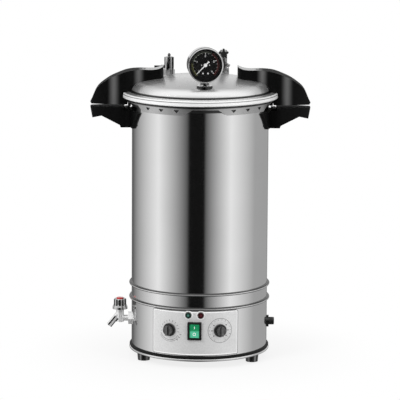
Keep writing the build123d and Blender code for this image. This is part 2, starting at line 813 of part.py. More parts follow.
def bleed_level():
    return dome_at(sqrt(bleed_x ** 2 + bleed_y ** 2))


def make_bleed_body():
    body = hexagon(bleed_nut_flats, -bleed_nut_height, bleed_nut_height)
    body += disc(bleed_body_radius, 0, bleed_body_rise)
    body = fillet(body.edges().sort_by(Axis.Z)[-1], 2.0)
    boss = Pos(0, 0, bleed_knob_rise) * Rot(90, 0, 0) * disc(bleed_boss_radius, 0, bleed_boss_reach)
    body += boss
    stem_hole = disc(bleed_stem_radius + running, bleed_boss_reach - bleed_stem_depth, bleed_boss_reach + 1)
    body -= Pos(0, 0, bleed_knob_rise) * Rot(90, 0, 0) * stem_hole
    outlet = disc(bleed_outlet_radius, 0, bleed_outlet_length)
    outlet -= disc(bleed_outlet_bore, bleed_outlet_length / 2, bleed_outlet_length)
    body += Pos(0, 0, bleed_outlet_rise) * Rot(0, 180 - bleed_outlet_tilt, 0) * outlet
    body = Pos(bleed_x, bleed_y, bleed_level()) * body
    return body - lid_crown(0)


def make_bleed_knob():
    """Star knob on the front of the bleed valve, with its stem."""
    knob = disc(bleed_hub_radius, 0, bleed_knob_depth)
    reach = bleed_knob_radius - bleed_arm_radius
    for turn in range(bleed_arm_count):
        arm = Pos(0, reach / 2, bleed_arm_depth / 2) * Box(2 * bleed_arm_radius, reach, bleed_arm_depth)
        arm += Pos(0, reach, 0) * disc(bleed_arm_radius, 0, bleed_arm_depth)
        knob += Rot(0, 0, turn * 360 / bleed_arm_count) * arm
    knob += disc(bleed_stem_radius, -bleed_stem_depth * 0.9, 0)
    out = bleed_boss_reach + seat
    place = Pos(bleed_x, bleed_y - out, bleed_level() + bleed_knob_rise) * Rot(90, 0, 0)
    return place * knob


left_knob = panel_turn - knob_offset_deg
right_knob = panel_turn + knob_offset_deg
left_lamp = panel_turn - lamp_offset_deg
right_lamp = panel_turn + lamp_offset_deg

nodes = {
    "vessel_shell": make_vessel_shell(),
    "vessel_lug_ring": make_vessel_lug_ring(),
    "upper_seam_bead": make_seam_bead(band_top),
    "middle_band": make_middle_band(),
    "lower_seam_bead": make_seam_bead(sleeve_top),
    "base_sleeve": make_base_sleeve(),
    "base_trim_ring": make_base_trim_ring(),
    "base_pan": make_base_pan(),
    "foot_left": make_foot(foot_turn - foot_spread_deg / 2),
    "foot_right": make_foot(foot_turn + foot_spread_deg / 2),
    "foot_back": make_foot(foot_turn + 1.5 * foot_spread_deg),
    "vessel_handle_right": make_vessel_handle(),
    "vessel_handle_left": mirrored(make_vessel_handle()),
    "control_panel": make_control_panel(),
    "switch_bezel": make_switch_bezel(),
    "switch_rocker": make_switch_rocker(),
    "green_lamp_bezel": make_lamp_bezel(left_lamp),
    "green_lamp_lens": make_lamp_lens(left_lamp),
    "red_lamp_bezel": make_lamp_bezel(right_lamp),
    "red_lamp_lens": make_lamp_lens(right_lamp),
    "pressure_knob": make_knob(left_knob),
    "timer_knob": make_knob(right_knob),
    "drain_tap_nut": make_tap_nut(),
    "drain_tap_body": make_tap_body(),
    "drain_tap_knob": make_tap_knob(),
    "drain_tap_knob_cap": make_tap_cap(),
    "cable_gland_flange": make_gland_flange(),
    "cable_gland_cap": make_gland_cap(),
    "lid_shell": make_lid_shell(),
    "lid_gasket": make_lid_gasket(),
    "lid_handle_right": make_lid_handle(),
    "lid_handle_left": mirrored(make_lid_handle()),
    "gauge_stem": make_gauge_stem(),
    "gauge_case": make_gauge_case(),
    "gauge_bezel": make_gauge_bezel(),
    "gauge_dial": make_gauge_dial(),
    "gauge_glass": make_gauge_glass(),
    "gauge_needle": make_gauge_needle(),
    "safety_valve_body": make_safety_body(),
    "safety_valve_spindle": make_safety_spindle(),
    "safety_valve_lever": make_safety_lever(),
    "bleed_valve_body": make_bleed_body(),
    "bleed_valve_knob": make_bleed_knob(),
}

os.makedirs("parts", exist_ok=True)
for name, piece in nodes.items():
    export_step(piece, f"parts/{name}.step")
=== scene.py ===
import math

import bmesh
import bpy
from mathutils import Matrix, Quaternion, Vector
from mathutils.bvhtree import BVHTree


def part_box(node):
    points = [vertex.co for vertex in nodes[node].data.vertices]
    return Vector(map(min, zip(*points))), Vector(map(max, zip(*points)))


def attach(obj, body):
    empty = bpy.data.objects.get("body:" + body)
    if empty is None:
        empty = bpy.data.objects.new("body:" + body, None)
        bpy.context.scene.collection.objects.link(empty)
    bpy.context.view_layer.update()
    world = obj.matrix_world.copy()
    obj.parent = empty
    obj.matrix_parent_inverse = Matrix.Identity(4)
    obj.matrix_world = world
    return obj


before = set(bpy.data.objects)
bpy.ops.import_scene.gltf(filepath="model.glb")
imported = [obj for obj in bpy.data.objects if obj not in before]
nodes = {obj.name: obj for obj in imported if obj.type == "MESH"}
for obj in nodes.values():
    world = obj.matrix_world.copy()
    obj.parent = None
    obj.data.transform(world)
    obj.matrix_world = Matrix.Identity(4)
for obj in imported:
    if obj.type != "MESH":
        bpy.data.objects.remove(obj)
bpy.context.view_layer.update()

# The finish, the studio and the small pieces of a portable steam steriliser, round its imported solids.
# Metres, +Z up, front along -Y, origin on the ground under the vessel's axis.
# An azimuth is an angle about +Z in radians, counted from the front towards +X.
scene = bpy.context.scene
root = scene.collection
UP = Vector((0, 0, 1))

# Lid, by radius and by height
MOUTH = 0.545
RIM_INNER = 0.1583
# The rim's groove, the dome's foot seam and the band from the skirt's top down are darkened with painted
# shade.
RIM_GROOVE = (MOUTH + 0.0079, MOUTH + 0.0095)
SEAM_RADIUS = (0.1425, 0.1490)
SEAM_HEIGHT = (MOUTH + 0.0125, MOUTH + 0.0168)
SKIRT_TOP = MOUTH + 0.001
SKIRT_SHADE = MOUTH - 0.0050

# Handles, by distance to the side, with the start, end and softness of each of the painted gleams
HANDLE_TOP_END = 0.120
HANDLE_TOP_SOFT = 0.012
HANDLE_PAINTED_GLEAMS = ((0.122, 0.133, 0.007), (0.174, 0.184, 0.009))

# Lip on a vessel handle's shelf
LIP_INNER = 0.1480
LIP_OUTER = 0.1580
LIP_RISE = 0.0037
LIP_SINK = 0.0003
LIP_ROUND = 0.0006
LIP_HALF = math.radians(8.0)
LIP_STEPS = 16

# Screw in a lid handle: its dome as rings, each a share of its radius
SCREW_REACH = 0.119
SCREW_RADIUS = 0.0030
SCREW_RISE = 0.0012
SCREW_FLATNESS = 0.9
SCREW_SIDES = 40
SCREW_RINGS = (0.15, 0.3, 0.45, 0.6, 0.75, 0.88, 0.97, 1.0)
SLOT_HALF = 0.0005
SLOT_DEPTH = 0.0005
SLOT_END = 0.95
# A dark ring of painted shade round the screw, for its recess
SHADE_RING_GAP = 0.0010
SHADE_RING_WIDTH = 0.0018
SHADE_RING_RISE = 0.0004

# Panel, on its round face, with its knobs and lamps
PANEL_RADIUS = 0.1445
PANEL_TURN = math.radians(-3.7)
PANEL_HALF = math.radians(37.5)
PANEL_CORNER = 0.004
CONTROL_Z = 0.0795
KNOB_OFFSET = math.radians(21.1)
KNOB_FACE = 0.011
KNOB_BAR = 0.017
POINTER_AND_GLINT = (0.0035, 0.0088)
LAMP_HALO = 0.0080
LAMP_HALO_WIDTH = 0.0022
LAMP_HIGHLIGHT = 0.0036

# Rocker, from the panel's face
ROCKER_SEAT = 0.001
ROCKER_FRONT = 0.004
ROCKER_VALLEY = 0.0016
ROCKER_HALF = 0.0138
ROCKER_TILT = math.radians(9.0)
ROCKER_EDGE = 0.0088
ON_MARK = (0.0042, 0.0096)
OFF_MARK = -0.0066
OFF_RADIUS = 0.0027

# Gauge, from the middle of its case, turned a little to the side
GAUGE_YAW = math.radians(8.0)
GAUGE_FRONT = 0.013
GAUGE_BACK = 0.016
DIAL_FRONT = 0.008
BEZEL_SHADE_EDGES = (0.0335, 0.0357)
# The stem's collar, from the stem's foot, and its bright edge, from the collar's top
STEM_COLLAR = 0.0088
COLLAR_EDGE = (-0.0016, 0.0004)

# Dial, with each tick a length in from the scale and a width
SCALE_RADIUS = 0.0258
SCALE_WIDTH = 0.0016
OUTER_LINE = 0.0026
OUTER_WIDTH = 0.0006
SCALE_START = -135
SCALE_SWEEP = 270
SCALE_TICKS = 16
TICKS_A_NUMBER = 4
LONG_TICK = (0.0042, 0.0009)
SHORT_TICK = (0.0022, 0.0005)
TICK_START = 0.0008
NUMBER_RADIUS = 0.0185
DIGIT_WIDTH = 0.0022
DIGIT_HALF = 0.0018
DIGIT_LINE = 0.0007

# Tap and safety valve
TAP_RIDGE = 0.0127
SPOUT_START = 0.088
SPOUT_TILT = math.radians(39.0)
SPOUT_CLEAR = 0.012
SPOUT_PAINTED_REFLECTIONS = ((-0.0040, -0.0008), (0.0036, 0.0066))
VALVE_SLOT_SHADE = ((0.0022, 0.0036), (0.0054, 0.0086))

# Print, with an arc's pitch as the degrees between its points
PRINT_LIFT = 0.00012
MARK_WIDTH = 0.0012
OFF_WIDTH = 0.0010
PANEL_PITCH = 6
RING_PITCH = 8
HALO_PITCH = 11.25
CORNER_PITCH = 22.5
EDGE_PITCH = math.radians(3) * PANEL_RADIUS
CENTRE = (0.0, 0.0)
SIDES = (("left", -1), ("right", 1))
DIGITS = {
    "0": [[(0, 0), (1, 0), (1, 2), (0, 2), (0, 0)]],
    "1": [[(0.5, 0), (0.5, 2)]],
    "2": [[(0, 2), (1, 2), (1, 1), (0, 1), (0, 0), (1, 0)]],
    "3": [[(0, 2), (1, 2), (1, 0), (0, 0)], [(0, 1), (1, 1)]],
    "4": [[(0, 2), (0, 1), (1, 1)], [(1, 2), (1, 0)]],
}

# Camera and studio
CAM_ELEVATION = math.radians(9.8)
CAM_ROLL = math.radians(0.34)
CAM_DISTANCE = 5.88
CAM_TARGET = Vector((0.0004, 0.0, 0.3276))
CAM_LENS = 253.4
LAMP_AIM = Vector((0.0, 0.0, 0.35))
FLOOR_RADIUS = 1.6
FLOOR_SINK = 0.0004
FLOOR_SHADOW = (0.16, 0.42)
# What upright metal mirrors, by azimuth in degrees
CARDS = ((-180, 0.16), (-154, 0.12), (-74, 0.95), (-22, 0.12), (-17.5, 0.006), (7, 0.006), (10.5, 0.13),
         (54, 0.93), (106, 0.42), (156, 0.38), (180, 0.16))
# What level metal mirrors, by angle in degrees from the front over the top to the back
CEILING = ((0, 0.02), (10, 0.07), (24, 0.45), (40, 0.86), (62, 0.97), (95, 0.92), (122, 0.60), (144, 0.34),
           (154, 0.42), (166, 0.74), (180, 0.86))

# How a noise is scaled along x, y and z
EVEN = (1, 1, 1)
LEVEL = (1, 1, 0)
DRAWN = (1, 1, 60)


def colour(value):
    """A grey level, or red, green and blue, as a full colour."""
    if isinstance(value, (int, float)):
        value = (value, value, value)
    return (*value, 1.0)


def middle_of(name):
    """The middle of a node's box."""
    low, high = (Vector(corner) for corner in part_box(name))
    return (low + high) / 2


def outward(azimuth):
    """The level direction that looks out of the vessel at an azimuth."""
    return Vector((math.sin(azimuth), -math.cos(azimuth), 0.0))


# Node helpers
class Tree:
    """A node tree, with short calls for making and joining its nodes."""

    def __init__(self, holder):
        holder.use_nodes = True
        self.holder = holder
        self.nodes = holder.node_tree.nodes
        self.links = holder.node_tree.links

    def add(self, kind, **settings):
        node = self.nodes.new(kind)
        for key, value in settings.items():
            setattr(node, key, value)
        return node

    def feed(self, socket, value):
        """Gives a socket a value of its own or another node's output."""
        if isinstance(value, bpy.types.NodeSocket):
            self.links.new(value, socket)
        elif socket.type == "RGBA":
            socket.default_value = colour(value)
        else:
            socket.default_value = value

    def math(self, operation, *values):
        node = self.add("ShaderNodeMath", operation=operation)
        for socket, value in zip(node.inputs, values):
            self.feed(socket, value)
        return node.outputs[0]

    def vector(self, operation, *values):
        node = self.add("ShaderNodeVectorMath", operation=operation)
        for socket, value in zip(node.inputs, values):
            self.feed(socket, value)
        return node.outputs["Value" if operation in ("LENGTH", "DOT_PRODUCT") else "Vector"]

    def split(self, vector):
        """The x, y and z of a vector."""
        node = self.add("ShaderNodeSeparateXYZ")
        self.feed(node.inputs[0], vector)
        return node.outputs

    def mix(self, fac, a, b):
        """A where the factor is 0, and b where it is 1."""
        node = self.add("ShaderNodeMix", data_type="RGBA")
        self.feed(node.inputs["Factor"], fac)
        self.feed(node.inputs[6], a)
        self.feed(node.inputs[7], b)
        return node.outputs[2]

    def ramp(self, fac, stops, mode="LINEAR"):
        """A colour that follows stops given as (position, value)."""
        node = self.add("ShaderNodeValToRGB")
        node.color_ramp.interpolation = mode
        elements = node.color_ramp.elements
        while len(elements) < len(stops):
            elements.new(0.5)
        for element, (position, value) in zip(elements, stops):
            element.position = position
            element.color = colour(value)
        self.feed(node.inputs["Fac"], fac)
        return node.outputs["Color"]

    def spread(self, noise, low, high, edge=0.3):
        """Spreads a noise between two values, and leaves out its rare ends."""
        return self.ramp(noise, [(edge, low), (1 - edge, high)])

    def rise(self, value, start, stop, low=0.0, high=1.0):
        """A soft step from low to high, as a value goes from start to stop."""
        node = self.add("ShaderNodeMapRange", interpolation_type="SMOOTHSTEP")
        for key, level in (("From Min", start), ("From Max", stop), ("To Min", low), ("To Max", high)):
            node.inputs[key].default_value = level
        self.feed(node.inputs["Value"], value)
        return node.outputs["Result"]

    def above(self, value, edge, soft):
        """0 below an edge and 1 above it, with a soft step between."""
        return self.rise(value, edge - soft, edge + soft)

    def below(self, value, edge, soft):
        return self.math("SUBTRACT", 1.0, self.above(value, edge, soft))

    def between(self, value, low, high, soft):
        return self.math("MULTIPLY", self.above(value, low, soft), self.below(value, high, soft))

    def coords(self, scale=EVEN):
        """The shaded point at rest, in metres, with each axis scaled."""
        node = self.add("ShaderNodeMapping")
        node.inputs["Scale"].default_value = scale
        self.feed(node.inputs["Vector"], self.add("ShaderNodeTexCoord").outputs["Object"])
        return node.outputs["Vector"]

    def noise(self, scale, detail=3.0, stretch=EVEN):
        node = self.add("ShaderNodeTexNoise")
        node.inputs["Scale"].default_value = scale
        node.inputs["Detail"].default_value = detail
        node.inputs["Roughness"].default_value = 0.55
        self.feed(node.inputs["Vector"], self.coords(stretch))
        return node.outputs["Fac"]

    def radius(self):
        """The shaded point's distance from the vessel's axis."""
        return self.vector("LENGTH", self.coords(LEVEL))

    def height(self):
        """The shaded point's height above the ground."""
        return self.split(self.coords())[2]

    def sideways(self):
        """The shaded point's place along x."""
        return self.split(self.coords())[0]

    def normal(self):
        """The direction in which the surface faces."""
        return self.add("ShaderNodeNewGeometry").outputs["Normal"]

    def facing_up(self):
        """1 on a level top, 0 on a wall and -1 on an underside."""
        return self.split(self.normal())[2]


class Surface(Tree):
    """The node tree of a new material, round its main shader."""

    def __init__(self, name, **values):
        super().__init__(bpy.data.materials.new(name))
        self.shader = self.nodes["Principled BSDF"]
        for key, value in values.items():
            self.shader.inputs[key.replace("_", " ")].default_value = value

    def finish(self, tint, rough, grain, depth):
        """Joins colour, roughness and a fine grain to the shader, and returns the material."""
        bump = self.add("ShaderNodeBump")
        bump.inputs["Distance"].default_value = depth
        self.feed(bump.inputs["Height"], grain)
        self.feed(self.shader.inputs["Base Color"], tint)
        self.feed(self.shader.inputs["Roughness"], rough)
        self.feed(self.shader.inputs["Normal"], bump.outputs["Normal"])
        return self.holder


# Plain materials
def metal(name, tint, rough, grain, depth, stretch=EVEN, mottle=9.0):
    """A metal with fine marks. Tint and rough are each a low and a high value."""
    t = Surface(name, Metallic=1.0)
    fine = t.noise(grain, 4.0, stretch)
    return t.finish(t.spread(t.noise(mottle), *tint), t.spread(fine, *rough, edge=0.25), fine, depth)


def plastic(name, tint, rough, grain, depth, coat=0.0, specular=0.5):
    """A moulded plastic, rubber or ink, with a faint grain and a little change of colour."""
    t = Surface(name, Metallic=0.0, Coat_Weight=coat, Coat_Roughness=0.08, Specular_IOR_Level=specular)
    fine = t.noise(grain)
    return t.finish(t.spread(t.noise(14.0, 2.0), *tint), t.spread(fine, *rough), fine, depth)


barrel_steel = metal("barrel_steel_drawn", (0.80, 0.83), (0.07, 0.12), 6.0, 0.00001, stretch=DRAWN)
band_steel = metal("band_steel_brushed", (0.78, 0.81), (0.09, 0.15), 9.0, 0.00002, stretch=DRAWN)
# The lug ring's dark tint is painted shade, for the shadow under the lid's skirt where it shows.
lug_painted_shade = metal("lug_steel_dark", (0.10, 0.14), (0.35, 0.45), 60.0, 0.00001)
pan_steel = metal("pan_steel_bright", (0.86, 0.89), (0.15, 0.22), 60.0, 0.00001)
plated = metal("plated_bright", (0.80, 0.85), (0.06, 0.14), 220.0, 0.00001)
# The bleed valve's coarse dark and bright patches are painted reflections on its plating.
bleed_valve_plated = metal("bleed_valve_plated", (0.05, 0.7), (0.12, 0.2), 160.0, 0.00002, mottle=230.0)
valve_dark = metal("valve_dark_steel", (0.08, 0.14), (0.2, 0.3), 160.0, 0.00002)
lamp_ring = metal("lamp_ring_bright", (0.88, 0.92), (0.2, 0.28), 260.0, 0.00001)

control_black = plastic("control_black_satin", (0.010, 0.016), (0.25, 0.35), 400.0, 0.00003)
gland_black = plastic("gland_black_gloss", (0.006, 0.010), (0.14, 0.22), 400.0, 0.00002, coat=0.6)
trim_black = plastic("trim_black_rubber", (0.003, 0.006), (0.5, 0.6), 500.0, 0.00006, specular=0.2)
seal_rubber = plastic("seal_rubber_pale", (0.6, 0.68), (0.5, 0.62), 400.0, 0.00004)
cap_red = plastic("cap_red_gloss", ((0.55, 0.01, 0.01), (0.62, 0.015, 0.012)), (0.2, 0.3), 200.0, 0.00001,
                  coat=0.3)
dial_black = plastic("dial_black_matte", (0.003, 0.005), (0.5, 0.6), 500.0, 0.00001, specular=0.2)
needle_white = plastic("needle_white_enamel", (0.88, 0.94), (0.3, 0.4), 300.0, 0.00001)


def ink(name, low, high):
    """A flat printed ink."""
    return plastic(name, (low, high), (0.4, 0.5), 400.0, 0.00001)


edge_white = plastic("panel_edge_white", (0.86, 0.9), (0.3, 0.4), 400.0, 0.00001)
print_white = ink("print_white_ink", 0.80, 0.88)
print_black = ink("print_black_ink", 0.012, 0.02)
print_grey = ink("print_grey_ink", 0.13, 0.18)
scale_green = ink("scale_green_ink", (0.12, 0.12, 0.04), (0.17, 0.17, 0.06))
scale_grey = ink("scale_grey_ink", (0.08, 0.09, 0.07), (0.12, 0.13, 0.10))
scale_red = ink("scale_red_ink", (0.08, 0.017, 0.015), (0.12, 0.028, 0.025))


# Materials that follow the part's form
def panel_material():
    """Silver sheet with a fine fleck."""
    t = Surface("panel_silver_satin", Metallic=0.45)
    fine = t.noise(900.0, 2.0)
    fleck = t.spread(t.noise(420.0, 2.0), 0.70, 0.86, edge=0.35)
    tint = t.mix(t.spread(t.noise(20.0, 2.0), 0.3, 0.6), fleck, 0.77)
    return t.finish(tint, t.spread(fine, 0.38, 0.5), fine, 0.00003)


def glass_material():
    """Clear gauge glass, faintly smeared."""
    t = Surface("glass_clear", Metallic=0.0, Alpha=0.07, IOR=1.5)
    smear = t.noise(40.0, 2.0)
    t.feed(t.shader.inputs["Base Color"], t.spread(smear, 0.01, 0.02))
    t.feed(t.shader.inputs["Roughness"], t.spread(smear, 0.03, 0.05))
    return t.holder


def handle_material(name, painted_gleam):
    """Black moulded handle: painted gleams on its sides, and a top whose inner end alone has a gloss coat
    and a lighter tint of painted sheen.
    """
    t = Surface(name, Metallic=0.0, Specular_IOR_Level=0.15, Coat_IOR=1.8, Coat_Roughness=0.06)
    fine = t.noise(300.0)
    reach = t.math("ABSOLUTE", t.sideways())
    side = t.below(t.math("ABSOLUTE", t.facing_up()), 0.5, 0.2)
    top = t.above(t.facing_up(), 0.5, 0.2)
    gloss_and_painted_sheen = t.math("MULTIPLY", top, t.below(reach, HANDLE_TOP_END, HANDLE_TOP_SOFT))
    bands = t.math("ADD", *(t.between(reach, *highlight_band) for highlight_band in HANDLE_PAINTED_GLEAMS))
    bands = t.math("MULTIPLY", t.math("MULTIPLY", bands, side), painted_gleam)
    # Painted gleams lighten the sides in bands, and a painted sheen lightens the coated inner end of the
    # top.
    tint = t.mix(bands, t.spread(fine, 0.002, 0.004), 0.125)
    tint = t.mix(gloss_and_painted_sheen, tint, 0.16)
    t.feed(t.shader.inputs["Coat Weight"], gloss_and_painted_sheen)
    return t.finish(tint, t.mix(top, t.spread(fine, 0.28, 0.36), 0.6), fine, 0.00003)


def bead_material():
    """Rolled bead: bright round front between a top and an underside darkened with painted shade."""
    t = Surface("bead_steel_rolled", Metallic=1.0)
    fine = t.noise(9.0, 4.0, DRAWN)
    up = t.facing_up()
    # Painted shade darkens the faces that look up and the faces that look down.
    tint = t.mix(t.above(up, 0.40, 0.12), t.spread(fine, 0.84, 0.9), 0.10)
    tint = t.mix(t.above(t.math("MULTIPLY", up, -1.0), 0.38, 0.12), tint, 0.06)
    return t.finish(tint, t.spread(fine, 0.25, 0.35, edge=0.25), fine, 0.00002)


def bezel_material():
    """Plated bezel, bright between an outer edge and an inner one that are darkened with painted shade."""
    t = Surface("bezel_plated", Metallic=1.0)
    fine = t.noise(220.0)
    offset = t.vector("SUBTRACT", t.coords(), middle_of("gauge_case"))
    radius = t.vector("LENGTH", t.vector("CROSS_PRODUCT", offset, outward(GAUGE_YAW)))
    inner, outer = BEZEL_SHADE_EDGES
    # Painted shade on the bezel's outer and inner edges.
    tint = t.mix(t.above(radius, outer, 0.0004), t.spread(fine, 0.84, 0.9), 0.12)
    tint = t.mix(t.below(radius, inner, 0.0003), tint, 0.10)
    return t.finish(tint, t.spread(fine, 0.12, 0.2, edge=0.25), fine, 0.00001)


def stem_material():
    """Gauge stem: a collar whose wall is darkened with painted shade under a bright top edge, and a neck
    darkened with painted shade.
    """
    t = Surface("stem_plated", Metallic=1.0)
    fine = t.noise(220.0)
    height = t.height()
    low, high = (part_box("gauge_stem")[0][2] + STEM_COLLAR + edge for edge in COLLAR_EDGE)
    # Painted shade on the neck above the collar's bright edge and on the collar's wall below it.
    tint = t.mix(t.above(height, high, 0.0004), t.spread(fine, 0.84, 0.9), 0.16)
    tint = t.mix(t.below(height, low, 0.0004), tint, 0.05)
    return t.finish(tint, t.spread(fine, 0.15, 0.25, edge=0.25), fine, 0.00001)


def lid_material():
    """Pressed lid: satin dome, bright rolled rim, a blotchy skirt greyed with painted shade, and dark seams
    of painted shade between them.
    """
    t = Surface("lid_steel_satin")
    fine = t.noise(60.0, 4.0)
    blotch = t.noise(9.0)
    radius = t.radius()
    height = t.height()
    rim = t.above(radius, RIM_INNER, 0.0008)
    groove_shade = t.math("MULTIPLY", rim, t.between(height, *RIM_GROOVE, 0.0005))
    skirt = t.math("MULTIPLY", t.math("SUBTRACT", 1.0, rim), t.below(height, SKIRT_TOP, 0.0006))
    seam_shade = t.math("MULTIPLY", t.between(radius, *SEAM_RADIUS, 0.0006),
                  t.between(height, *SEAM_HEIGHT, 0.0010))
    under = t.math("MULTIPLY", skirt, t.above(height, SKIRT_SHADE, 0.0010))
    # Painted shade: a greyer skirt, a dark groove in the rim, a dark seam at the dome's foot and a dark band
    # under the rim.
    tint = t.mix(rim, t.spread(blotch, 0.91, 0.95), 0.95)
    tint = t.mix(groove_shade, tint, 0.22)
    tint = t.mix(skirt, tint, t.spread(blotch, 0.45, 0.62))
    tint = t.mix(seam_shade, tint, 0.08)
    tint = t.mix(under, tint, 0.05)
    t.feed(t.shader.inputs["Metallic"], t.mix(rim, 0.9, 0.3))
    return t.finish(tint, t.mix(rim, t.spread(fine, 0.26, 0.32, edge=0.25), 0.3), fine, 0.00001)


def tap_knob_material():
    """Fluted tap knob: plated ridges with grooves between them darkened with painted shade."""
    t = Surface("tap_knob_plated", Metallic=1.0)
    fine = t.noise(260.0)
    middle = middle_of("drain_tap_knob")
    reach = t.vector("LENGTH", t.vector("SUBTRACT", t.coords(LEVEL), (middle.x, middle.y, 0.0)))
    groove_shade = t.math("MULTIPLY", t.below(reach, TAP_RIDGE, 0.0003), t.below(t.facing_up(), 0.5, 0.2))
    # Painted shade in the grooves between the ridges.
    tint = t.mix(groove_shade, t.spread(fine, 0.55, 0.72), 0.03)
    return t.finish(tint, t.spread(fine, 0.18, 0.28), fine, 0.00002)


def tap_body_material():
    """Bright tap body, whose spout has dark streaks of painted reflection that run along it."""
    t = Surface("tap_plated", Metallic=0.5)
    fine = t.noise(220.0)
    offset = t.vector("SUBTRACT", t.coords(), (middle_of("drain_tap_knob").x, 0.0, SPOUT_START))
    down = Vector((-math.sin(SPOUT_TILT), 0.0, -math.cos(SPOUT_TILT)))
    along = t.vector("DOT_PRODUCT", offset, down)
    across = t.vector("DOT_PRODUCT", offset, (-down.z, 0.0, down.x))
    # Painted reflection: dark streaks along the spout.
    dark = t.math("ADD", *(t.between(across, *streak, 0.0004) for streak in SPOUT_PAINTED_REFLECTIONS))
    dark = t.math("MULTIPLY", dark, t.above(along, SPOUT_CLEAR, 0.0010))
    tint = t.mix(dark, t.spread(fine, 0.88, 0.93), 0.02)
    return t.finish(tint, t.spread(fine, 0.10, 0.18), fine, 0.00001)


def safety_valve_material():
    """Plated valve barrel with dark upright stripes of painted shade for slots beside its open one."""
    t = Surface("safety_valve_plated", Metallic=1.0)
    fine = t.noise(160.0)
    across = t.math("SUBTRACT", t.sideways(), middle_of("safety_valve_spindle").x)
    # Painted shade: dark stripes where slots would be recessed.
    dark = t.math("ADD", *(t.between(across, *slot, 0.0004) for slot in VALVE_SLOT_SHADE))
    tint = t.mix(t.math("MULTIPLY", dark, 0.9), t.spread(fine, 0.50, 0.72), 0.03)
    return t.finish(tint, t.spread(fine, 0.12, 0.20), fine, 0.00002)


def knob_material(name, azimuth):
    """Moulded knob: black sides and skirt, with a face and grip bar greyed in blotches by a painted sheen.
    """
    t = Surface(name, Metallic=0.0, Coat_Weight=0.2, Coat_Roughness=0.15)
    fine = t.noise(400.0)
    front = t.above(t.vector("DOT_PRODUCT", t.normal(), outward(azimuth)), 0.85, 0.08)
    face = t.math("MULTIPLY", front, t.above(t.radius(), PANEL_RADIUS + KNOB_FACE, 0.0003))
    grey = t.spread(t.noise(160.0, 2.0), 0.045, 0.095, edge=0.35)
    # Painted sheen: the outward faces of the face and the bar are grey in blotches.
    tint = t.mix(face, t.spread(fine, 0.006, 0.012), grey)
    return t.finish(tint, t.spread(fine, 0.25, 0.35), fine, 0.00003)


def foot_material():
    """Moulded foot, black with two upright lighter bands of painted highlight on its side."""
    t = Surface("foot_black_moulded", Metallic=0.0, Coat_Weight=0.3, Coat_Roughness=0.15)
    fine = t.noise(500.0)
    highlight_band = t.between(t.math("ABSOLUTE", t.split(t.normal())[0]), 0.40, 0.60, 0.06)
    # Painted highlight in the bands where the side faces partly sideways.
    tint = t.mix(highlight_band, t.spread(fine, 0.004, 0.009), t.spread(fine, 0.16, 0.24))
    return t.finish(tint, t.spread(fine, 0.3, 0.45), fine, 0.00005)


def rocker_material():
    """Clear green rocker, paler on its lower half and darker along its edges."""
    t = Surface("switch_green_gloss", Metallic=0.0, Coat_Weight=0.3, Coat_Roughness=0.08)
    fine = t.noise(200.0)
    across = t.math("ABSOLUTE", t.math("SUBTRACT", t.sideways(), math.sin(PANEL_TURN) * PANEL_RADIUS))
    green = t.spread(fine, (0.006, 0.20, 0.075), (0.012, 0.26, 0.105))
    pale = t.spread(fine, (0.05, 0.38, 0.22), (0.08, 0.46, 0.28))
    dark = t.spread(fine, (0.0, 0.10, 0.04), (0.003, 0.14, 0.055))
    tint = t.mix(t.below(t.height(), CONTROL_Z, 0.0016), green, pale)
    tint = t.mix(t.above(across, ROCKER_EDGE, 0.0008), tint, dark)
    return t.finish(tint, t.spread(fine, 0.18, 0.24), fine, 0.00001)


def lamp_material(name, node, dark, light):
    """Clear lamp lens, deep in colour with a painted highlight at its middle."""
    t = Surface(name, Metallic=0.0, Coat_Weight=0.5, Coat_Roughness=0.08)
    fine = t.noise(200.0)
    reach = t.vector("LENGTH", t.vector("SUBTRACT", t.coords(), middle_of(node)))
    # Painted highlight: the lighter spot at the lens's middle.
    tint = t.mix(t.below(reach, LAMP_HIGHLIGHT, 0.0006),
                 t.spread(fine, dark, [1.5 * v for v in dark]),
                 t.spread(fine, light, [1.2 * v for v in light]))
    return t.finish(tint, t.spread(fine, 0.10, 0.16), fine, 0.00001)


panel_silver = panel_material()
glass_clear = glass_material()
lid_handle_black = handle_material("lid_handle_black", 1.0)
vessel_handle_black = handle_material("vessel_handle_black", 0.0)
bead_steel = bead_material()
bezel_plated = bezel_material()
stem_plated = stem_material()
lid_steel = lid_material()
tap_knob_plated = tap_knob_material()
tap_plated = tap_body_material()
safety_valve_plated = safety_valve_material()
pressure_knob_black = knob_material("pressure_knob_black", PANEL_TURN - KNOB_OFFSET)
timer_knob_black = knob_material("timer_knob_black", PANEL_TURN + KNOB_OFFSET)
foot_black = foot_material()
switch_green = rocker_material()
lamp_green = lamp_material("lamp_green_clear", "green_lamp_lens", (0.001, 0.012, 0.007), (0.05, 0.14, 0.115))
lamp_red = lamp_material("lamp_red_clear", "red_lamp_lens", (0.018, 0.001, 0.001), (0.060, 0.014, 0.019))

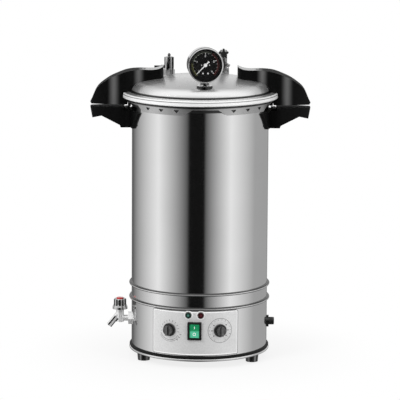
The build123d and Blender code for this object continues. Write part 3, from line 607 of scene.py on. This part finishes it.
finishes = (
    (barrel_steel, ["vessel_shell"]),
    (lug_painted_shade, ["vessel_lug_ring"]),
    (bead_steel, ["upper_seam_bead", "lower_seam_bead"]),
    (band_steel, ["middle_band", "base_sleeve"]),
    (trim_black, ["base_trim_ring"]),
    (pan_steel, ["base_pan"]),
    (foot_black, ["foot_left", "foot_right", "foot_back"]),
    (vessel_handle_black, ["vessel_handle_left", "vessel_handle_right"]),
    (panel_silver, ["control_panel"]),
    (control_black, ["switch_bezel", "bleed_valve_knob"]),
    (switch_green, ["switch_rocker"]),
    (lamp_ring, ["green_lamp_bezel", "red_lamp_bezel"]),
    (lamp_green, ["green_lamp_lens"]),
    (lamp_red, ["red_lamp_lens"]),
    (pressure_knob_black, ["pressure_knob"]),
    (timer_knob_black, ["timer_knob"]),
    (tap_plated, ["drain_tap_nut", "drain_tap_body"]),
    (tap_knob_plated, ["drain_tap_knob"]),
    (cap_red, ["drain_tap_knob_cap"]),
    (gland_black, ["cable_gland_flange", "cable_gland_cap"]),
    (lid_steel, ["lid_shell"]),
    (seal_rubber, ["lid_gasket"]),
    (lid_handle_black, ["lid_handle_left", "lid_handle_right"]),
    (stem_plated, ["gauge_stem"]),
    (plated, ["gauge_case"]),
    (bezel_plated, ["gauge_bezel"]),
    (dial_black, ["gauge_dial"]),
    (glass_clear, ["gauge_glass"]),
    (needle_white, ["gauge_needle"]),
    (safety_valve_plated, ["safety_valve_body"]),
    (valve_dark, ["safety_valve_spindle", "safety_valve_lever"]),
    (bleed_valve_plated, ["bleed_valve_body"]),
)
for material, names in finishes:
    for name in names:
        for slot in nodes[name].material_slots:
            slot.link = "OBJECT"
            slot.material = material


# Camera
def photo_camera():
    """The photograph's camera: far off and a little above level, with a long lens."""
    data = bpy.data.cameras.new("camera")
    data.sensor_width = 36.0
    data.lens = CAM_LENS
    data.clip_start = 0.1
    data.clip_end = 100.0
    camera = bpy.data.objects.new("camera", data)
    root.objects.link(camera)
    back = Vector((0.0, -math.cos(CAM_ELEVATION), math.sin(CAM_ELEVATION)))
    camera.location = CAM_TARGET + back * CAM_DISTANCE
    camera.rotation_mode = "QUATERNION"
    camera.rotation_quaternion = (-back).to_track_quat("-Z", "Y") @ Quaternion((0, 0, 1), CAM_ROLL)
    scene.camera = camera


# Studio
def studio_world():
    """White to the eye. Metal mirrors a ring of studio cards, a lit ceiling and a dark floor."""
    scene.world = bpy.data.worlds.new("studio")
    t = Tree(scene.world)
    t.nodes.clear()
    x, y, z = t.split(t.add("ShaderNodeTexCoord").outputs["Generated"])
    front = t.math("MULTIPLY", y, -1.0)
    turn = t.math("ADD", t.math("DIVIDE", t.math("ARCTAN2", x, front), 2 * math.pi), 0.5)
    cards = t.ramp(turn, [(degrees / 360 + 0.5, level) for degrees, level in CARDS])
    over = t.math("DIVIDE", t.math("ARCTAN2", z, front), math.pi)
    ceiling = t.ramp(over, [(degrees / 180, level) for degrees, level in CEILING])
    high = t.ramp(z, [(0.0, 0.0), (0.06, 1.0)], "EASE")
    low = t.ramp(t.math("MULTIPLY", z, -1.0), [(0.40, 0.0), (0.60, 0.55)], "EASE")
    mirrored = t.mix(low, t.mix(high, cards, ceiling), 0.12)
    soft = t.ramp(t.math("ADD", t.math("MULTIPLY", z, 0.5), 0.5), [(0.2, 0.45), (0.8, 0.85)])
    path = t.add("ShaderNodeLightPath").outputs
    shown = t.mix(path["Is Glossy Ray"], soft, mirrored)
    shown = t.mix(path["Is Camera Ray"], shown, 1.0)
    shown = t.mix(path["Is Transmission Ray"], shown, 1.0)
    background = t.add("ShaderNodeBackground")
    t.feed(background.inputs["Color"], shown)
    t.feed(t.add("ShaderNodeOutputWorld").inputs["Surface"], background.outputs[0])


def floor_material():
    """White to the eye, with the object's shadow near its middle."""
    t = Tree(bpy.data.materials.new("floor_white"))
    t.nodes.clear()
    diffuse = t.add("ShaderNodeBsdfDiffuse")
    t.feed(diffuse.inputs["Color"], 0.8)
    glow = t.add("ShaderNodeEmission")
    t.feed(glow.inputs["Color"], 1.0)
    t.feed(glow.inputs["Strength"], 1.0)
    far = t.vector("LENGTH", t.add("ShaderNodeTexCoord").outputs["Object"])
    fade = t.rise(far, *FLOOR_SHADOW, 0.8, 1.0)
    mix = t.add("ShaderNodeMixShader")
    t.feed(mix.inputs[0], t.math("MULTIPLY", t.add("ShaderNodeLightPath").outputs["Is Camera Ray"], fade))
    t.feed(mix.inputs[1], diffuse.outputs[0])
    t.feed(mix.inputs[2], glow.outputs[0])
    t.feed(t.add("ShaderNodeOutputMaterial").inputs["Surface"], mix.outputs[0])
    return t.holder


def stage_floor():
    """A round floor just under the feet, which isn't part of the object."""
    mesh = bpy.data.meshes.new("floor")
    form = bmesh.new()
    bmesh.ops.create_circle(form, cap_ends=True, segments=96, radius=FLOOR_RADIUS)
    form.to_mesh(mesh)
    form.free()
    mesh.materials.append(floor_material())
    floor = bpy.data.objects.new("floor", mesh)
    root.objects.link(floor)
    floor.location.z = -FLOOR_SINK
    floor.visible_glossy = False


def softbox(name, place, size, power):
    """A square studio lamp that no eye and no mirror sees."""
    data = bpy.data.lights.new(name, "AREA")
    data.shape = "RECTANGLE"
    data.size = size
    data.size_y = size
    data.energy = power
    lamp = bpy.data.objects.new(name, data)
    root.objects.link(lamp)
    lamp.location = place
    lamp.rotation_mode = "QUATERNION"
    lamp.rotation_quaternion = (LAMP_AIM - Vector(place)).to_track_quat("-Z", "Y")
    lamp.visible_camera = False
    lamp.visible_glossy = False


photo_camera()
scene.view_settings.view_transform = "Standard"
studio_world()
stage_floor()
softbox("key", (-2.2, -2.4, 2.6), 1.2, 60.0)
softbox("fill", (2.4, -2.2, 1.6), 1.4, 30.0)


# Places to draw on, each a function of (across, up, out)
def on_panel(across, up, out):
    """On the panel's round face: across it from its middle, up from the ground."""
    azimuth = PANEL_TURN + across / PANEL_RADIUS
    return outward(azimuth) * (PANEL_RADIUS + out) + UP * up


def on_plane(origin, across_axis, up_axis):
    """On a plane through a point, along two directions of its own."""
    out_axis = across_axis.cross(up_axis)

    def at(across, up, out):
        return origin + across_axis * across + up_axis * up + out_axis * out
    return at


def on_wall(origin, azimuth):
    """On an upright plane that looks out of the vessel at an azimuth."""
    return on_plane(origin, Vector((math.cos(azimuth), math.sin(azimuth), 0.0)), UP)


def on_front(azimuth, lift=0.0):
    """On a wall that touches the panel's round face, at the height of its knobs and switch."""
    return on_wall(outward(azimuth) * (PANEL_RADIUS + lift) + UP * CONTROL_Z, azimuth)


def surface_above(name, x, y):
    """The highest point of a node over a spot, and the surface's direction there."""
    mesh = nodes[name].data
    tree = BVHTree.FromPolygons([v.co for v in mesh.vertices], [p.vertices for p in mesh.polygons])
    point, normal, _, _ = tree.ray_cast(Vector((x, y, 1.0)), -UP)
    return point, normal


# Lines, with angles in degrees from the top, clockwise
def polar(centre, radius, angle):
    """The point at a radius and an angle round a centre."""
    a = math.radians(angle)
    return (centre[0] + math.sin(a) * radius, centre[1] + math.cos(a) * radius)


def arc(centre, radius, start, stop, pitch):
    """Points of an arc, with about one in every pitch degrees."""
    steps = int(abs(stop - start) / pitch)
    return [polar(centre, radius, start + (stop - start) * i / steps) for i in range(steps + 1)]


def small_ring(centre, radius):
    """Points of a whole circle that starts at its right."""
    return arc(centre, radius, 90, 90 - 360, RING_PITCH)


def strip(form, at, points, width, lift=PRINT_LIFT):
    """A thin flat line that follows points given as (across, up)."""
    rows = []
    for i, (across, up) in enumerate(points):
        before = Vector(points[max(i - 1, 0)])
        after = Vector(points[min(i + 1, len(points) - 1)])
        along = (after - before).normalized()
        side = Vector((-along.y, along.x)) * (width / 2)
        rows.append([form.verts.new(at(across + s * side.x, up + s * side.y, lift)) for s in (1, -1)])
    for (a, b), (c, d) in zip(rows, rows[1:]):
        form.faces.new((a, b, d, c))


# Pieces
def piece(name, form, material, body):
    """Turns a form into a named piece that rides a body."""
    mesh = bpy.data.meshes.new(name)
    form.to_mesh(mesh)
    form.free()
    mesh.materials.append(material)
    obj = bpy.data.objects.new(name, mesh)
    root.objects.link(obj)
    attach(obj, body)


def knob_print(name, side, material, arcs=(), ticks=()):
    """Print round a panel knob: arcs of (radius, start, stop, width) and rows of ticks of
    (angles, inner, outer, width). The side is -1 for the left knob and 1 for the right one."""
    centre = (side * KNOB_OFFSET * PANEL_RADIUS, CONTROL_Z)
    form = bmesh.new()
    for radius, start, stop, width in arcs:
        strip(form, on_panel, arc(centre, radius, start, stop, PANEL_PITCH), width)
    for angles, inner, outer, width in ticks:
        for angle in angles:
            strip(form, on_panel, [polar(centre, inner, angle), polar(centre, outer, angle)], width)
    piece(name, form, material, "base")


def panel_border(name, material, inset, width):
    """A line round the panel, inside its edge."""
    low, high = (corner[2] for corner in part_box("control_panel"))
    right = PANEL_HALF * PANEL_RADIUS - PANEL_CORNER
    top = high - PANEL_CORNER
    bottom = low + PANEL_CORNER
    corners = []
    middles = ((right, top), (right, bottom), (-right, bottom), (-right, top))
    for start, middle in zip((0, 90, 180, 270), middles):
        corners += arc(middle, PANEL_CORNER - inset, start, start + 90, CORNER_PITCH)
    points = []
    for (a, b), (c, d) in zip(corners, corners[1:] + corners[:1]):
        steps = max(1, int(abs(c - a) / EDGE_PITCH))
        points += [(a + (c - a) * i / steps, b + (d - b) * i / steps) for i in range(steps)]
    form = bmesh.new()
    strip(form, on_panel, points + points[:1], width)
    piece(name, form, material, "base")


def lamp_halo(lamp):
    """A light printed ring round a lamp."""
    middle = middle_of(lamp + "_lens")
    across = (math.atan2(middle.x, -middle.y) - PANEL_TURN) * PANEL_RADIUS
    form = bmesh.new()
    strip(form, on_panel, arc((across, middle.z), LAMP_HALO, 0, 360, HALO_PITCH), LAMP_HALO_WIDTH)
    piece(lamp + "_halo", form, edge_white, "base")


def on_dial():
    """On the face of the gauge's dial."""
    face = DIAL_FRONT - (GAUGE_FRONT - GAUGE_BACK) / 2
    return on_wall(middle_of("gauge_case") + outward(GAUGE_YAW) * face, GAUGE_YAW)


def dial_arc(name, material, start, stop):
    """A coloured stretch of the pressure scale, with a fine line outside it."""
    form = bmesh.new()
    for radius, width in ((SCALE_RADIUS, SCALE_WIDTH), (SCALE_RADIUS + OUTER_LINE, OUTER_WIDTH)):
        strip(form, on_dial(), arc(CENTRE, radius, start, stop, RING_PITCH), width)
    piece(name, form, material, "lid")


def dial_numbers():
    """The pressure scale's ticks and plain numbers."""
    at = on_dial()
    form = bmesh.new()
    for i in range(SCALE_TICKS + 1):
        angle = SCALE_START + SCALE_SWEEP * i / SCALE_TICKS
        length, width = SHORT_TICK if i % TICKS_A_NUMBER else LONG_TICK
        ends = [polar(CENTRE, SCALE_RADIUS - depth, angle) for depth in (length, TICK_START)]
        strip(form, at, ends, width)
    for i, digit in enumerate("01234"):
        angle = SCALE_START + SCALE_SWEEP * i * TICKS_A_NUMBER / SCALE_TICKS
        x, y = polar(CENTRE, NUMBER_RADIUS, angle)
        for stroke in DIGITS[digit]:
            points = [(x + (u - 0.5) * DIGIT_WIDTH, y + (v - 1) * DIGIT_HALF) for u, v in stroke]
            strip(form, at, points, DIGIT_LINE)
    piece("dial_numbers", form, print_white, "lid")


def dial_dots():
    """Two dots under the dial's middle and two smaller ones beside it."""
    form = bmesh.new()
    for centre, radius, width in (((-0.0048, -0.0170), 0.0008, 0.0014), ((0.0056, -0.0170), 0.0008, 0.0014),
                                  ((-0.0075, 0.0), 0.0005, 0.0009), ((0.0085, 0.0), 0.0005, 0.0009)):
        strip(form, on_dial(), small_ring(centre, radius), width)
    piece("dial_dots", form, print_white, "lid")


def rocker_marks():
    """Plain on and off marks on the switch's two slopes."""
    front = on_front(PANEL_TURN, ROCKER_SEAT)

    def at(across, up, lift):
        out = ROCKER_FRONT - ROCKER_VALLEY * (1 - abs(up) / ROCKER_HALF) + lift
        return front(across, up * math.cos(ROCKER_TILT) + out * math.sin(ROCKER_TILT),
                     out * math.cos(ROCKER_TILT) - up * math.sin(ROCKER_TILT))

    form = bmesh.new()
    strip(form, at, small_ring((0.0, OFF_MARK), OFF_RADIUS), OFF_WIDTH)
    strip(form, at, [(0.0, up) for up in ON_MARK], MARK_WIDTH)
    piece("rocker_marks", form, print_white, "switch_rocker")


def knob_pointer_and_glint(knob, side):
    """A pale line on a knob's grip bar: a pointer mark that is also a painted glint."""
    form = bmesh.new()
    at = on_front(PANEL_TURN + side * KNOB_OFFSET)
    strip(form, at, [(0.0, up) for up in POINTER_AND_GLINT], MARK_WIDTH, KNOB_BAR + PRINT_LIFT)
    piece(knob + "_pointer_and_glint", form, print_white, knob)


def slotted_head(form, at):
    """A domed screw head with a straight slot across it."""
    turns = [2 * math.pi * i / SCREW_SIDES for i in range(SCREW_SIDES)]
    rings = []
    for share in SCREW_RINGS:
        dome = SCREW_RISE * math.sqrt(1.0 - SCREW_FLATNESS * share * share)
        ring = []
        for turn in turns:
            x = math.cos(turn) * SCREW_RADIUS * share
            y = math.sin(turn) * SCREW_RADIUS * share
            slotted = abs(y) < SLOT_HALF and share < SLOT_END
            ring.append(form.verts.new(at(x, y, dome - SLOT_DEPTH if slotted else dome)))
        rings.append(ring)
    base = [(math.cos(turn) * SCREW_RADIUS, math.sin(turn) * SCREW_RADIUS) for turn in turns]
    rings.append([form.verts.new(at(x, y, -SCREW_RISE)) for x, y in base])
    middle = form.verts.new(at(0.0, 0.0, SCREW_RISE - SLOT_DEPTH))
    for i in range(SCREW_SIDES):
        j = (i + 1) % SCREW_SIDES
        form.faces.new((middle, rings[0][i], rings[0][j]))
        for inner, outer in zip(rings, rings[1:]):
            form.faces.new((inner[i], outer[i], outer[j], inner[j]))


def handle_screw(name, side):
    """A screw in a dark ring of painted shade for its recess, near the inner end of a lid handle's top."""
    point, normal = surface_above("lid_handle_" + name, side * SCREW_REACH, 0.0)
    across = Vector((0, 1, 0)).cross(normal).normalized()
    at = on_plane(point, across, normal.cross(across))
    form = bmesh.new()
    slotted_head(form, at)
    piece("lid_handle_screw_" + name, form, plated, "lid")
    form = bmesh.new()
    # Painted shade: a dark flat ring for the recess round the screw.
    strip(form, at, small_ring(CENTRE, SCREW_RADIUS + SHADE_RING_GAP), SHADE_RING_WIDTH, SHADE_RING_RISE)
    piece("lid_handle_screw_shade_ring_" + name, form, trim_black, "lid")


def saddle_lip(name, side):
    """A low lip on a vessel handle's inner shelf, under the lid's skirt."""
    shelf, _ = surface_above("vessel_handle_" + name, side * (LIP_INNER + LIP_OUTER) / 2, 0.0)
    low = shelf.z - LIP_SINK
    top = shelf.z + LIP_RISE
    profile = ((LIP_INNER, low), (LIP_INNER, top - LIP_ROUND), (LIP_INNER + LIP_ROUND, top),
               (LIP_OUTER - LIP_ROUND, top), (LIP_OUTER, top - LIP_ROUND), (LIP_OUTER, low))
    form = bmesh.new()
    rows = []
    for i in range(LIP_STEPS + 1):
        a = LIP_HALF * (2 * i / LIP_STEPS - 1)
        rows.append([form.verts.new((side * r * math.cos(a), r * math.sin(a), z)) for r, z in profile])
    for one, two in zip(rows, rows[1:]):
        for i in range(len(profile)):
            j = (i + 1) % len(profile)
            form.faces.new((one[i], one[j], two[j], two[i]))
    form.faces.new(rows[0])
    form.faces.new(rows[-1])
    bmesh.ops.recalc_face_normals(form, faces=form.faces)
    piece("vessel_handle_lip_" + name, form, vessel_handle_black, "base")


knob_print("timer_ring_print", 1, print_grey, arcs=[(0.0255, 0, 360, 0.0008)])
knob_print("timer_mark_print", 1, print_black, ticks=[
    ((-130, -90, -50, 50, 90, 130), 0.0160, 0.0185, 0.0020),
    (range(-150, 151, 20), 0.0215, 0.0238, 0.0007),
])
knob_print("pressure_ring_print", -1, print_grey, arcs=[
    (0.0215, 120, 250, 0.0008),
    (0.0245, 130, 240, 0.0006),
], ticks=[
    (range(0, 101, 20), 0.0175, 0.0215, 0.0009),
    (range(-100, -19, 20), 0.0175, 0.0200, 0.0009),
])
knob_print("pressure_mark_print", -1, print_black, ticks=[((110, 125, 140), 0.0235, 0.0275, 0.0011)])
panel_border("panel_edge_light", edge_white, 0.0026, 0.0020)
panel_border("panel_edge_line", print_grey, 0.0008, 0.0012)
lamp_halo("green_lamp")
lamp_halo("red_lamp")
dial_arc("dial_arc_low", scale_green, -142, -82)
dial_arc("dial_arc_middle", scale_grey, -78, 28)
dial_arc("dial_arc_high", scale_red, 32, 138)
dial_numbers()
dial_dots()
rocker_marks()
knob_pointer_and_glint("pressure_knob", -1)
knob_pointer_and_glint("timer_knob", 1)
for name, side in SIDES:
    handle_screw(name, side)
for name, side in SIDES:
    saddle_lip(name, side)
